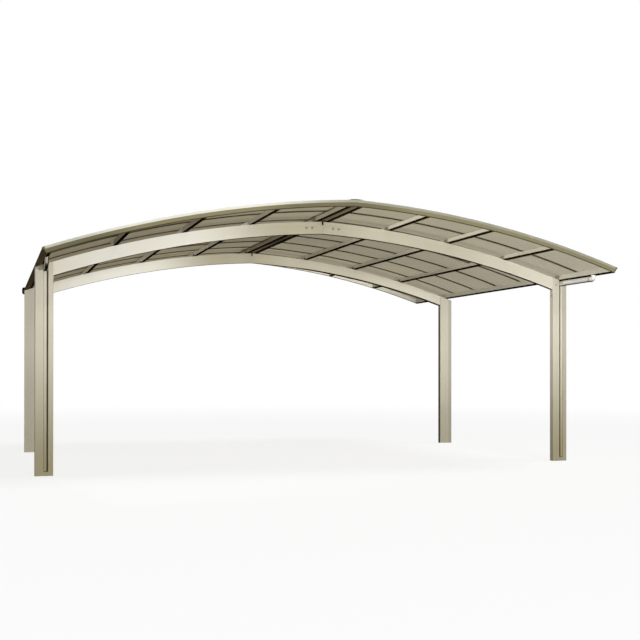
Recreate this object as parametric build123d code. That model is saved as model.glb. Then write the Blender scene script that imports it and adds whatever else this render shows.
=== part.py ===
from build123d import *
import math
import os

# A two-car carport of bronze-beige aluminium, in millimetres. X runs across the bay,
# Y from the front to the back and Z up from the ground. The origin is on the ground
# in the middle of the plan, and each half of the roof is an arc that falls to its eave.

# Plan
post_spacing_x = 6180
post_spacing_y = 3330
panel_count = 8
panel_pitch = 695
end_margin = 48

# Seat line of the right half: the top of the beams, where the purlins lie
seat_radius = 11050
ridge_height = 2825
eave_height = 2236

# Fits between pieces
fit_gap = 0.3
joint_gap = 0.5

# Posts, one aluminium section with a groove for the downpipe in its front face, plugged at the foot
post_width = 190
post_depth = 75
post_wall = 3
post_corner = 4
post_lid = 4
groove_start = 88
groove_width = 50
groove_depth = 50
groove_foot = 45
cover_wall = 2.5
cover_leg = 14

# Arched beams, hollow
beam_width = 62
beam_height = 140
beam_wall = 4
beam_corner = 2

# Sleeve that joins two beams at the ridge, and the notch above it
splice_reach = 240
splice_wall = 5
notch_width = 14
notch_depth = 35

# Purlins
purlin_width = 38
purlin_height = 56
purlin_wall = 2.5
purlin_corner = 2
purlins_per_half = 3
ridge_purlin_x = 60

# Channel between the ridge purlins, and the cover over the ridge
channel_bottom = 18
channel_top = 50
channel_wall = 2.5
cover_reach = 86
cover_foot = 14
cover_edge = 3
cover_crown = 9
cover_crown_reach = 44
cover_sheet = 2.5

# Rafters: a bar below the panels, and a cap that is screwed down on them through the gap between them
rafter_width = 24
rafter_height = 10
screw_gap = 8
cap_width = 34
cap_height = 2.7
ridge_end_gap = 6

# Roof panels
panel_thickness = 3
panel_edge_gap = 1
panel_overrun = 24

# Fascias, the curved frames at the front and the back
fascia_lip = 4
fascia_wall = 3
fascia_top_band = 12
fascia_bottom_band = 5
fascia_ledge = 21
fascia_cover = 27

# Gutters, in the slope of the eave
gutter_inset = 10
gutter_foot = 44
gutter_reach = 64
gutter_wall = 3
gutter_round = 6
gutter_lip = 9

# Drain pipes, box sections with cut corners
drain_from_end = 398
drain_outlet_in = 21.5
drain_width = 38
drain_height = 58
drain_corner = 7
drain_wall = 2
drain_elbow = 24
drain_drop = 45
downpipe_width = 32
downpipe_depth = 44
downpipe_foot_gap = 6
drain_side_gap = 1

# Sizes that follow from those above
half_span = post_spacing_x / 2
post_y = post_spacing_y / 2
gutter_x = half_span - gutter_inset
drain_run_z = eave_height - drain_drop
roof_length = panel_count * panel_pitch + 2 * end_margin
bar_bottom = purlin_height + fit_gap
bar_top = bar_bottom + rafter_height
sheet_top = bar_top + panel_thickness
cap_bottom = sheet_top + fit_gap
roof_top = cap_bottom + cap_height
drain_outlet_y = drain_from_end - roof_length / 2
inner_length = roof_length - 2 * (fascia_lip + fascia_wall)
panel_end_x = gutter_x + panel_overrun
groove_x = -post_width / 2 + groove_start + groove_width / 2
post_stock = eave_height + post_width
past = 60
far = 8000

# Centre of the right half's arc, from its radius and its two ends
chord = math.hypot(half_span, ridge_height - eave_height)
centre_distance = math.sqrt(seat_radius**2 - (chord / 2) ** 2)
arc_x = half_span / 2 - centre_distance * (ridge_height - eave_height) / chord
arc_z = (ridge_height + eave_height) / 2 - centre_distance * half_span / chord
arc_axis = Axis((arc_x, 0, arc_z), (0, 1, 0))


def seat_angle(x):
    return math.asin((x - arc_x) / seat_radius)


def seat_x(angle):
    return arc_x + seat_radius * math.sin(angle)


def slope_plane(x, y=0.0):
    # On the seat line above x: its x runs down the slope, its y away from the arc centre
    angle = seat_angle(x)
    origin = (x, y, arc_z + seat_radius * math.cos(angle))
    return Plane(origin=origin, x_dir=(math.cos(angle), 0, -math.sin(angle)), z_dir=(0, -1, 0))


def section_plane(x):
    # Upright across the arc above x: its x is the model's Y, its y is height off the seat line
    angle = seat_angle(x)
    origin = (x, 0, arc_z + seat_radius * math.cos(angle))
    return Plane(origin=origin, x_dir=(0, 1, 0), z_dir=(math.cos(angle), 0, -math.sin(angle)))


def outline(points):
    return make_face(Polyline(*points, close=True))


def arched(section, x_from, x_to):
    # A section carried round the roof arc and cut upright at both ends
    start, end = seat_angle(x_from - past), seat_angle(x_to + past)
    solid = revolve(section_plane(x_from - past) * section, arc_axis, math.degrees(end - start))
    middle = Pos((x_from + x_to) / 2, 0, 0)
    return solid & middle * Box(x_to - x_from, far, far)


def straight(section, x, length=inner_length):
    # A section drawn in the slope above x, carried from the back to the front
    return extrude(slope_plane(x, length / 2) * section, length)


def slope_block(start, end, bottom, top):
    # A block in the slope of the gutter, for cutting what meets it
    middle = Pos((start + end) / 2, (bottom + top) / 2, 0)
    return slope_plane(gutter_x) * middle * Box(end - start, top - bottom, far)


def past_gutter():
    return slope_block(-fit_gap, far / 8, -past, 2 * past)


def left_of(solid):
    return mirror(solid, about=Plane.YZ)


def on_side(solid, side):
    return solid if side > 0 else left_of(solid)


def behind(solid):
    return mirror(solid, about=Plane.XZ)


def tube(width, height, wall, corner):
    rim = Rectangle(width, height)
    rim = chamfer(rim.vertices(), corner)
    return rim - Rectangle(width - 2 * wall, height - 2 * wall)


def groove_opening():
    return Pos(groove_x, -post_depth / 2) * Rectangle(groove_width, 2 * groove_depth)


def post_chambers():
    # Two chambers beside the groove and one behind it, with webs between them
    inside = post_depth - 2 * post_wall
    left_end = groove_x - groove_width / 2 - post_wall
    right_start = groove_x + groove_width / 2 + post_wall
    left_width = left_end + post_width / 2 - post_wall
    right_width = post_width / 2 - post_wall - right_start
    back_depth = inside - groove_depth
    back_y = post_depth / 2 - post_wall - back_depth / 2
    return (
        Pos(left_end - left_width / 2, 0) * Rectangle(left_width, inside)
        + Pos(right_start + right_width / 2, 0) * Rectangle(right_width, inside)
        + Pos(groove_x, back_y) * Rectangle(groove_width, back_depth)
    )


def post(side, y):
    place = Pos(side * half_span, y, 0)
    above = on_side(slope_block(-far / 8, far / 8, 0, far / 8), side)
    above_lid = on_side(slope_block(-far / 8, far / 8, -post_lid, far / 8), side)
    body = extrude(RectangleRounded(post_width, post_depth, post_corner), post_stock)
    body -= Pos(0, 0, groove_foot) * extrude(groove_opening(), post_stock)
    return place * body - above - (place * extrude(post_chambers(), post_stock) - above_lid)


def groove_cover(side, y):
    # Closes the groove of a post that has no downpipe
    width = groove_width - 2 * fit_gap
    front = -post_depth / 2
    face = Pos(groove_x, front + cover_leg / 2) * Rectangle(width, cover_leg)
    open_back = Pos(groove_x, front + cover_wall + cover_leg / 2)
    face -= open_back * Rectangle(width - 2 * cover_wall, cover_leg)
    above = on_side(slope_block(-far / 8, far / 8, 0, far / 8), side)
    return Pos(side * half_span, y, groove_foot + fit_gap) * extrude(face, post_stock) - above


def beam():
    section = Pos(0, -beam_height / 2) * tube(beam_width, beam_height, beam_wall, beam_corner)
    solid = arched(section, joint_gap, half_span - post_width / 2)
    notch = Pos(0, 0, ridge_height) * Box(notch_width, beam_width + 2 * past, 2 * notch_depth)
    return solid - notch


def beam_splice():
    clearance = beam_wall + fit_gap
    width = beam_width - 2 * clearance
    height = beam_height - 2 * clearance
    section = Pos(0, -beam_height / 2) * tube(width, height, splice_wall, beam_corner)
    half = arched(section, 0, splice_reach)
    return half + left_of(half)


def purlin(x):
    section = tube(purlin_width, purlin_height, purlin_wall, purlin_corner)
    return straight(Pos(0, purlin_height / 2) * section, x)


def purlin_places():
    # Even steps along the arc from the ridge purlin to the gutter
    first, last = seat_angle(ridge_purlin_x), seat_angle(gutter_x)
    step = (last - first) / (purlins_per_half + 1)
    return [seat_x(first + step * number) for number in range(1, purlins_per_half + 1)]


def ridge_channel():
    # An open channel that hangs between the faces of the two ridge purlins
    plane = slope_plane(ridge_purlin_x)
    face_x = -purlin_width / 2 - fit_gap
    lip = plane.from_local_coords(Vector(face_x, channel_top))
    foot = plane.from_local_coords(Vector(face_x, channel_bottom))
    wall = channel_wall
    outer = [(-lip.X, lip.Z), (-foot.X, foot.Z), (foot.X, foot.Z), (lip.X, lip.Z)]
    inner = [
        (-lip.X + wall, lip.Z + wall),
        (-foot.X + wall, foot.Z + wall),
        (foot.X - wall, foot.Z + wall),
        (lip.X - wall, lip.Z + wall),
    ]
    back = Plane(origin=(0, inner_length / 2, 0), x_dir=(1, 0, 0), z_dir=(0, -1, 0))
    return extrude(back * (outline(outer) - outline(inner)), inner_length)


def ridge_cover():
    # A low crowned strip over the ends of both halves
    top_radius = seat_radius + roof_top

    def cap_height_at(x):
        return arc_z + math.sqrt(top_radius**2 - (x - arc_x) ** 2) + fit_gap

    middle, edge = cap_height_at(0), cap_height_at(cover_reach)
    foot_start = cover_reach - cover_foot
    crown = cap_height_at(cover_crown_reach) + cover_crown
    right = [
        (cover_crown_reach, crown - cover_sheet),
        (foot_start, cap_height_at(foot_start)),
        (cover_reach, edge),
        (cover_reach, edge + cover_edge),
        (cover_crown_reach, crown),
    ]
    points = [(0, middle + cover_crown - cover_sheet), *right, (0, middle + cover_crown)]
    points += [(-x, z) for x, z in reversed(right)]
    back = Plane(origin=(0, roof_length / 2, 0), x_dir=(1, 0, 0), z_dir=(0, -1, 0))
    return extrude(back * outline(points), roof_length)


def gutter_section():
    wall_top = bar_top - fit_gap
    lean = (gutter_reach - gutter_foot) / sheet_top
    inside_foot = gutter_foot - gutter_wall + lean * gutter_wall
    lip_bottom = sheet_top - gutter_wall
    face = outline(
        [
            (0, 0),
            (gutter_foot, 0),
            (gutter_reach, sheet_top),
            (gutter_reach - gutter_lip, sheet_top),
            (gutter_reach - gutter_lip, lip_bottom),
            (gutter_reach - gutter_wall - lean * gutter_wall, lip_bottom),
            (inside_foot, gutter_wall),
            (gutter_wall, gutter_wall),
            (gutter_wall, wall_top),
            (0, wall_top),
        ]
    )
    for x, y, radius in (
        (gutter_foot, 0, gutter_round),
        (inside_foot, gutter_wall, gutter_round - gutter_wall),
    ):
        corner = face.vertices().sort_by_distance((x, y, 0))[0]
        face = fillet(corner, radius)
    return face


def gutter():
    outlet = slope_plane(gutter_x, drain_outlet_y) * Pos(drain_outlet_in, 0, 0)
    hole = Box(drain_width - 2 * drain_wall, 4 * gutter_wall, drain_height - 2 * drain_wall)
    return straight(gutter_section(), gutter_x) - outlet * hole


def fascia():
    # Front right, with its end cut back along the outside of the gutter
    front = -roof_length / 2
    back = fascia_lip + fascia_wall
    points = [
        (0, 0),
        (back, 0),
        (back, cap_bottom),
        (back + fascia_cover, cap_bottom),
        (back + fascia_cover, roof_top),
        (0, roof_top),
        (0, roof_top - fascia_top_band),
        (fascia_lip, roof_top - fascia_top_band),
        (fascia_lip, fascia_bottom_band),
        (0, fascia_bottom_band),
    ]
    solid = arched(Pos(front, 0) * outline(points), joint_gap, half_span + post_width)
    lean = math.degrees(math.atan2(gutter_reach - gutter_foot, sheet_top))
    end_cut = slope_plane(gutter_x) * Pos(gutter_foot, 0, 0) * Rot(0, 0, -lean)
    solid -= end_cut * Pos(post_width, 0, 0) * Box(2 * post_width, far / 8, far)
    # The ledge under the sheet stops at the wall of the gutter
    ledge = Pos(front + back + fascia_ledge / 2, bar_top - fascia_wall / 2)
    ledge *= Rectangle(fascia_ledge, fascia_wall)
    return solid + (arched(ledge, joint_gap, gutter_x) - past_gutter())


def rafter(y):
    # The bar stops at the wall of the gutter, and the cap runs on over it
    cap = Pos(y, cap_bottom + cap_height / 2) * Rectangle(cap_width, cap_height)
    bar = Pos(y, bar_bottom + rafter_height / 2) * Rectangle(rafter_width, rafter_height)
    return arched(cap, ridge_end_gap, panel_end_x), arched(bar, ridge_end_gap, gutter_x) - past_gutter()


def rafter_places():
    first = -roof_length / 2 + end_margin
    return [first + panel_pitch * number for number in range(1, panel_count)]


def roof_panels():
    # One sheet in each bay, with a gap over the middle of each rafter
    end = roof_length / 2 - fascia_lip - fascia_wall - panel_edge_gap
    edges = [y + side * screw_gap / 2 for y in rafter_places() for side in (-1, 1)]
    edges = [-end, *edges, end]
    sheets = []
    for front, back in zip(edges[::2], edges[1::2]):
        sheet = Rectangle(back - front, panel_thickness)
        place = Pos((front + back) / 2, bar_top + panel_thickness / 2)
        sheets.append(arched(place * sheet, ridge_end_gap, panel_end_x))
    return together(sheets)


def box_run(outline_face, path):
    # A box section carried along a line with mitred turns, its width level
    start = Plane(path @ 0, x_dir=(path % 0).cross(path % 1), z_dir=path % 0)
    return sweep(start * outline_face, path=path, transition=Transition.RIGHT)


def drain_pipe(side):
    # From the gutter's outlet back into the post's groove, and down it on its outer side
    outlet = slope_plane(gutter_x).from_local_coords(Vector(drain_outlet_in, 0))
    back_y = -post_y - post_depth / 2 + groove_depth - drain_side_gap
    top = Vector(side * outlet.X, drain_outlet_y, outlet.Z + past)
    corner = Vector(side * outlet.X, drain_outlet_y, drain_run_z)
    end = Vector(side * half_span + groove_x, back_y, drain_run_z)
    turned = corner + (end - corner).normalized() * drain_elbow
    path = Polyline(top, corner + Vector(0, 0, drain_elbow), turned, end)
    face = Rectangle(drain_width, drain_height)
    face = chamfer(face.vertices(), drain_corner)
    inside = Rectangle(drain_width - 2 * drain_wall, drain_height - 2 * drain_wall)
    rear_wall = Plane(end, x_dir=(1, 0, 0), z_dir=end - corner) * Box(past, 2 * past, 2 * drain_wall)
    pipe = box_run(face, path)
    bore = box_run(chamfer(inside.vertices(), drain_corner - drain_wall), path) - rear_wall

    down_x = end.X + side * (groove_width / 2 - drain_side_gap - downpipe_width / 2)
    down_y = back_y + drain_side_gap - groove_depth + downpipe_depth / 2 + drain_side_gap
    foot_z = groove_foot + downpipe_foot_gap
    place = Pos(down_x, down_y, foot_z)
    pipe += place * extrude(Rectangle(downpipe_width, downpipe_depth), drain_run_z - foot_z)
    down_bore = Rectangle(downpipe_width - 2 * drain_wall, downpipe_depth - 2 * drain_wall)
    down_bore = place * extrude(down_bore, drain_run_z - foot_z)
    solid = pipe - bore - down_bore
    return solid - on_side(slope_block(-far / 8, far / 8, 0, far / 8), side)


def together(solids):
    return Compound(children=[Solid(solid.solids()[0].wrapped) for solid in solids])


def save(name, shape):
    export_step(shape, "parts/" + name + ".step")


os.makedirs("parts", exist_ok=True)

sides = {"left": -1, "right": 1}
ends = {"front": -post_y, "rear": post_y}

right_beam = beam()
right_fascia = fascia()
right_gutter = gutter()
splice = beam_splice()
right_panels = roof_panels()

for side_name, side in sides.items():
    for end_name, y in ends.items():
        save("post_" + end_name + "_" + side_name, post(side, y))
        save("beam_" + end_name + "_" + side_name, on_side(Pos(0, y, 0) * right_beam, side))
        front_fascia = on_side(right_fascia, side)
        fascia_here = front_fascia if y < 0 else behind(front_fascia)
        save("fascia_" + end_name + "_" + side_name, fascia_here)
    for number, x in enumerate(purlin_places(), 1):
        save("purlin_" + side_name + "_" + str(number), on_side(purlin(x), side))
    for number, y in enumerate(rafter_places(), 1):
        pieces = [on_side(piece, side) for piece in rafter(y)]
        save("rafter_" + side_name + "_" + str(number), together(pieces))
    save("ridge_purlin_" + side_name, on_side(purlin(ridge_purlin_x), side))
    save("gutter_" + side_name, on_side(right_gutter, side))
    save("roof_panels_" + side_name, on_side(right_panels, side))
    save("drain_pipe_" + side_name, drain_pipe(side))

for end_name, y in ends.items():
    save("beam_splice_" + end_name, Pos(0, y, 0) * splice)

save("groove_covers", together([groove_cover(side, post_y) for side in sides.values()]))
save("ridge_channel", ridge_channel())
save("ridge_cover", ridge_cover())
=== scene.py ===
import math

import bmesh
import bpy
from mathutils import Matrix, Vector


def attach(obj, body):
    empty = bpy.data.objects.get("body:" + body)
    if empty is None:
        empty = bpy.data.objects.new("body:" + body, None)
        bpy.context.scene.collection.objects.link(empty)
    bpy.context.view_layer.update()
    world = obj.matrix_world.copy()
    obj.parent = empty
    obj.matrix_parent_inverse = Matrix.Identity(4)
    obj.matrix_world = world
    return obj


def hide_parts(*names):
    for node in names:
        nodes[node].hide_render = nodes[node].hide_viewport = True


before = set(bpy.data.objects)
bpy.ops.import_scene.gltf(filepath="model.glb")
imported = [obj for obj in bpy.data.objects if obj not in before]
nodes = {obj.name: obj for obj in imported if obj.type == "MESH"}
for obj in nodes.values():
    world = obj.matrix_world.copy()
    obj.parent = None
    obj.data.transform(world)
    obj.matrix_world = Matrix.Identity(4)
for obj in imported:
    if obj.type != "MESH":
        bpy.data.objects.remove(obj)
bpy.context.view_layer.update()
scene = bpy.context.scene

# The roof's geometry in metres, as the solids have it
roof = {
    "halfSpan": 3.09,
    "postY": 1.665,
    "halfLength": 2.828,
    "seatRadius": 11.05,
    "ridgeHeight": 2.825,
    "eaveHeight": 2.236,
    "gutterX": 3.08,
    "capTop": 0.0723,
    "rafterPitch": 0.695,
    "rafterFirst": -2.085,
    "rafterCount": 7,
    "beamHalfWidth": 0.031,
    "purlinFirst": 0.060,
    "purlinPitches": 4,
}
roofDrop = roof["ridgeHeight"] - roof["eaveHeight"]
roofChord = math.hypot(roof["halfSpan"], roofDrop)
roofRise = math.sqrt(roof["seatRadius"] ** 2 - (roofChord / 2) ** 2)
arcX = roof["halfSpan"] / 2 - roofRise * roofDrop / roofChord
arcZ = (roof["ridgeHeight"] + roof["eaveHeight"]) / 2 - roofRise * roof["halfSpan"] / roofChord
rafterYs = [roof["rafterFirst"] + roof["rafterPitch"] * n for n in range(roof["rafterCount"])]


def roofAngle(x):
    # The roof's slope at a distance from the ridge
    return math.asin((x - arcX) / roof["seatRadius"])


def onRoof(x, y, up):
    # A point above the seat line, and the direction away from the roof there
    side = -1 if x < 0 else 1
    angle = roofAngle(abs(x))
    reach = roof["seatRadius"] + up
    away = Vector((side * math.sin(angle), 0, math.cos(angle)))
    return Vector((side * (arcX + reach * math.sin(angle)), y, arcZ + reach * math.cos(angle))), away


def slopeFrame(x, y):
    # The seat line's point above x, the way down the slope and the way away from the roof
    side = -1 if x < 0 else 1
    seat, away = onRoof(x, y, 0.0)
    fall = Vector((side * away.z, 0, -abs(away.x)))
    return seat, fall, away


def evenly(first, last, count):
    return [first + (last - first) * n / (count - 1) for n in range(count)]


gutterAlong = roof["seatRadius"] * roofAngle(roof["gutterX"])

# Camera, at the photograph's place
cameraLook = {
    "place": (-3.6397, -12.881, 1.1119),
    "turnRight": 17.883,
    "tiltUp": 0.2106,
    "roll": 0.036,
    "lens": 57.65,
    "sensorWidth": 36.0,
    "shiftY": 0.0736,
    "clipEnd": 200.0,
}
cameraData = bpy.data.cameras.new("camera")
cameraData.lens = cameraLook["lens"]
cameraData.sensor_width = cameraLook["sensorWidth"]
cameraData.shift_y = cameraLook["shiftY"]
cameraData.clip_end = cameraLook["clipEnd"]
camera = bpy.data.objects.new("camera", cameraData)
scene.collection.objects.link(camera)
turn = Matrix.Rotation(math.radians(-cameraLook["turnRight"]), 4, "Z")
tilt = Matrix.Rotation(math.radians(90 + cameraLook["tiltUp"]), 4, "X")
roll = Matrix.Rotation(math.radians(cameraLook["roll"]), 4, "Z")
camera.matrix_world = Matrix.Translation(cameraLook["place"]) @ turn @ tilt @ roll
scene.camera = camera
scene.view_settings.view_transform = "Standard"
print("camera set")


# Node helpers, for materials and for Geometry Nodes
def feed(tree, socket, value):
    if isinstance(value, bpy.types.NodeSocket):
        tree.links.new(value, socket)
    else:
        socket.default_value = value


def addNode(tree, kind, settings=None, **inputs):
    # An input is given by its name, or by its number after an underscore
    node = tree.nodes.new(kind)
    for key, value in (settings or {}).items():
        setattr(node, key, value)
    for key, value in inputs.items():
        place = int(key[1:]) if key[0] == "_" else key.replace("_", " ")
        feed(tree, node.inputs[place], value)
    return node


def sums(tree, operation, first, second=0.0):
    return addNode(tree, "ShaderNodeMath", {"operation": operation}, _0=first, _1=second).outputs[0]


def times(tree, first, second):
    return sums(tree, "MULTIPLY", first, second)


def blendColour(tree, share, first, second):
    return addNode(tree, "ShaderNodeMix", {"data_type": "RGBA"}, _0=share, _6=first, _7=second).outputs[2]


def mixShaders(tree, share, first, second):
    return addNode(tree, "ShaderNodeMixShader", Fac=share, _1=first.outputs[0], _2=second.outputs[0])


def between(tree, value, zone, ends=(0.0, 1.0)):
    # Eases from the first end at the zone's start to the second at its end
    node = addNode(tree, "ShaderNodeMapRange", {"interpolation_type": "SMOOTHSTEP"}, Value=value)
    for name, number in zip(("From Min", "From Max", "To Min", "To Max"), (*zone, *ends)):
        node.inputs[name].default_value = number
    return node.outputs["Result"]


def below(tree, value, zone, most=1.0):
    return between(tree, value, zone, (most, 0.0))


def above(tree, value, zone, most=1.0):
    return between(tree, value, zone, (0.0, most))


def near(place, zone):
    # A zone that is given from a place
    return place + zone[0], place + zone[1]


def tinted(colour, factor=1.0):
    return (colour[0] * factor, colour[1] * factor, colour[2] * factor, 1.0)


def clouded(tree, cloud, colour, tints):
    return blendColour(tree, cloud, tinted(colour, tints[0]), tinted(colour, tints[1]))


def newMaterial(name):
    material = bpy.data.materials.new(name)
    material.use_nodes = True
    tree = material.node_tree
    tree.nodes.clear()
    end = tree.nodes.new("ShaderNodeOutputMaterial")
    return material, tree, end


def objectPlace(tree):
    return tree.nodes.new("ShaderNodeTexCoord").outputs["Object"]


def parted(tree, vector):
    return addNode(tree, "ShaderNodeSeparateXYZ", Vector=vector).outputs


def facingParts(tree):
    return parted(tree, tree.nodes.new("ShaderNodeNewGeometry").outputs["Normal"])


def roofSpot(tree):
    # Where a point is, also in metres along the arc and up from the seat line
    x, y, z = parted(tree, objectPlace(tree))
    across = sums(tree, "SUBTRACT", sums(tree, "ABSOLUTE", x), arcX)
    height = sums(tree, "SUBTRACT", z, arcZ)
    squares = sums(tree, "ADD", times(tree, across, across), times(tree, height, height))
    up = sums(tree, "SUBTRACT", sums(tree, "SQRT", squares), roof["seatRadius"])
    along = times(tree, sums(tree, "ARCTAN2", across, height), roof["seatRadius"])
    return {"x": x, "y": y, "z": z, "along": along, "up": up}


def unrolled(tree, spot):
    # The roof laid flat, so that a pattern follows its arc
    return addNode(tree, "ShaderNodeCombineXYZ", X=spot["along"], Y=spot["y"], Z=spot["up"]).outputs[0]


def grain(tree, vector, stretch, detail=3.0, roughness=0.55):
    scaled = addNode(tree, "ShaderNodeVectorMath", {"operation": "MULTIPLY"}, _0=vector, _1=stretch)
    noise = addNode(tree, "ShaderNodeTexNoise", Vector=scaled.outputs[0], Scale=1.0, Detail=detail)
    noise.inputs["Roughness"].default_value = roughness
    return noise.outputs["Fac"]


def pressed(tree, height, strength, depth):
    return addNode(tree, "ShaderNodeBump", Height=height, Strength=strength, Distance=depth).outputs[0]


def mattWhere(tree, shader, dark):
    # dark is a share and a colour: there the surface is matt and has no shine
    matt = addNode(tree, "ShaderNodeBsdfDiffuse", Color=dark[1])
    return mixShaders(tree, dark[0], shader, matt)


noiseZone = (0.3, 0.7)  # most of a noise's values lie in it
rearZone = (1.0, 1.2)  # the rear posts and the rear beam stand behind it

# Anodised aluminium: drawn lines along each section, a little cloudiness and a satin surface
finish = {
    "colour": (0.74, 0.70, 0.58),
    "shade": (0.52, 0.47, 0.35),
    "deepShade": (0.312, 0.282, 0.21),
    # Painted shade: the matt near-black undersides
    "shadedSoleColour": (0.014, 0.008, 0.003),
    # Painted shade on the gutter's outer side
    "shadedOuterColour": (0.32, 0.27, 0.13),
    # Painted shade that shows through the beams' notch and joint gap
    "spliceShadeColour": (0.03, 0.022, 0.012),
    # Painted shade that darkens posts and downpipes towards the ground
    "groundShadeColour": (0.19, 0.16, 0.07),
    "groundShadeZone": (0.0, 1.7),
    "metallic": 0.2,
    "roughness": (0.40, 0.54),
    "roughZone": (0.2, 0.8),
    "lineStretch": 420.0,
    "lineRun": 1.6,
    "lineZone": (0.25, 0.75),
    "lineShare": 0.12,
    "lineBump": 0.35,
    "lineDepth": 0.00012,
    "cloudStretch": 2.2,
    "cloudTints": (0.965, 1.025),
}


def anodised(name, run, colour, change=None):
    # run is the way the section was drawn: x round the arc, y along the building or z up
    material, tree, end = newMaterial(name)
    spot = roofSpot(tree)
    place = unrolled(tree, spot) if run == "x" else objectPlace(tree)
    stretch = [finish["lineRun"] if axis == run else finish["lineStretch"] for axis in "xyz"]
    lines = grain(tree, place, stretch)
    cloud = grain(tree, objectPlace(tree), [finish["cloudStretch"]] * 3, detail=2.0)
    base = clouded(tree, between(tree, cloud, noiseZone), colour, finish["cloudTints"])
    lineShare = above(tree, lines, finish["lineZone"], finish["lineShare"])
    base = blendColour(tree, lineShare, base, tinted(finish["shade"]))
    dark = None
    if change:
        base, dark = change(tree, base, spot)
    shader = addNode(
        tree,
        "ShaderNodeBsdfPrincipled",
        Base_Color=base,
        Roughness=between(tree, lines, finish["roughZone"], finish["roughness"]),
        Normal=pressed(tree, lines, finish["lineBump"], finish["lineDepth"]),
        Metallic=finish["metallic"],
    )
    if dark:
        shader = mattWhere(tree, shader, dark)
    tree.links.new(shader.outputs[0], end.inputs[0])
    return material


purlinTones = {
    # Painted light on the left purlins' sides, and painted shade where they stand in front of the front beam
    "leftLightingColour": (0.93, 0.90, 0.80),
    "leftX": (-0.5, -0.2),
    "leftShare": 0.9,
    "frontShadeColour": (0.30, 0.28, 0.215),
    "frontY": (-1.75, -1.60),
    "ridgeColour": (0.17, 0.145, 0.09),
    "ridgeX": (0.10, 0.12),
    "ridgeMiddle": (-0.02, 0.02),
    "ridgeShares": (0.72, 0.85),
    "leftward": (-0.8, -0.6),
    # Painted shade along the purlins' feet
    "shadedFootUp": (0.0105, 0.0125),
}


def purlinTone(tree, base, spot):
    # Painted light makes purlins on the left paler behind the front beam, painted shade darkens them in
    # front of it, and all have a matt dark foot of painted shade
    x, tones = spot["x"], purlinTones
    behind = between(tree, spot["y"], tones["frontY"])
    left = blendColour(tree, behind, tinted(tones["frontShadeColour"]), tinted(tones["leftLightingColour"]))
    base = blendColour(tree, below(tree, x, tones["leftX"], tones["leftShare"]), base, left)
    # The two beside the ridge are in shade on their left sides
    byRidge = below(tree, sums(tree, "ABSOLUTE", x), tones["ridgeX"])
    leftward = below(tree, facingParts(tree)[0], tones["leftward"])
    leftward = times(tree, leftward, between(tree, x, tones["ridgeMiddle"], tones["ridgeShares"]))
    base = blendColour(tree, times(tree, byRidge, leftward), base, tinted(tones["ridgeColour"]))
    return base, (below(tree, spot["up"], tones["shadedFootUp"]), tinted(finish["shadedSoleColour"]))


# Painted light in bands across the building makes the beams paler towards both ends, with a little painted
# shade at the left end: each band has its zone, its shares before and after it, and its colour
beamTones = {
    "colour": (0.44, 0.405, 0.30),
    "lightingBands": (
        ((-1.7, -0.4), (0.95, 0.0), (0.90, 0.88, 0.79)),
        ((-3.0, -2.4), (0.25, 0.0), (0.52, 0.47, 0.35)),
        ((0.0, 0.7), (0.0, 0.30), (0.76, 0.73, 0.62)),
        ((1.4, 3.0), (0.0, 0.9), (0.76, 0.73, 0.62)),
    ),
    "lineFrom": (-0.052, -0.050),
    "lineTo": (-0.047, -0.045),
    "lineShare": 0.3,
    # Painted shade: a matt dark foot under the beams, deeper at the rear right
    "shadedSoleColour": (0.0224, 0.0128, 0.0048),
    "shadedSoleUp": (-0.1396, -0.1384),
    "shadedEdgeUp": (-0.1300, -0.1270),
    "shadedEdgeX": (0.3, 1.0),
}


def beamTone(tree, base, spot):
    # A fine line rolled along the faces, painted light on the halves and painted shade at the left end, and
    # a matt dark foot of painted shade, higher at the rear right
    x, up, tones = spot["x"], spot["up"], beamTones
    line = sums(tree, "MINIMUM", between(tree, up, tones["lineFrom"]), below(tree, up, tones["lineTo"]))
    base = blendColour(tree, times(tree, line, tones["lineShare"]), base, tinted(finish["deepShade"]))
    for zone, shares, colour in tones["lightingBands"]:
        base = blendColour(tree, between(tree, x, zone, shares), base, tinted(colour))
    edge = times(tree, below(tree, up, tones["shadedEdgeUp"]), between(tree, x, tones["shadedEdgeX"]))
    edge = times(tree, edge, between(tree, spot["y"], rearZone))
    shadedSole = sums(tree, "MAXIMUM", below(tree, up, tones["shadedSoleUp"]), edge)
    return base, (shadedSole, tinted(tones["shadedSoleColour"]))


gutterTones = {
    # Painted light on the gutter, and painted shade below and outside it
    "litPaleColour": (0.88, 0.86, 0.78),
    "litPaleShare": 0.5,
    "shadedOutsideAlong": (0.0385, 0.0395),
    "shadedUnderUp": (0.0048, 0.0060),
}


def gutterTone(tree, base, spot):
    # Painted light makes the gutter pale towards the bay, and painted shade makes it matt and dark below and
    # outside
    outside = between(tree, spot["along"], near(gutterAlong, gutterTones["shadedOutsideAlong"]))
    under = below(tree, spot["up"], gutterTones["shadedUnderUp"])
    tone = blendColour(tree, outside, tinted(finish["shadedSoleColour"]), tinted(finish["shadedOuterColour"]))
    base = blendColour(tree, gutterTones["litPaleShare"], base, tinted(gutterTones["litPaleColour"]))
    return base, (sums(tree, "MAXIMUM", outside, under), tone)


channelTones = {"colour": (0.14, 0.11, 0.065), "share": 0.95, "up": (0.062, 0.064)}


def channelTone(tree, base, spot):
    # Painted shade: the ridge channel is dark brown below, in the recess where it shows between the ridge
    # purlins
    share = below(tree, spot["up"], channelTones["up"], channelTones["share"])
    return base, (share, tinted(channelTones["colour"]))


rafterTones = {"colour": (0.05, 0.038, 0.022), "capColour": (0.50, 0.46, 0.33), "capUp": (0.0675, 0.0685)}


def rafterTone(tree, base, spot):
    # Dark bars below the sheets, and caps in the frame's own tone above them
    cap = between(tree, spot["up"], rafterTones["capUp"])
    return blendColour(tree, cap, base, tinted(rafterTones["capColour"])), None


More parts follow.
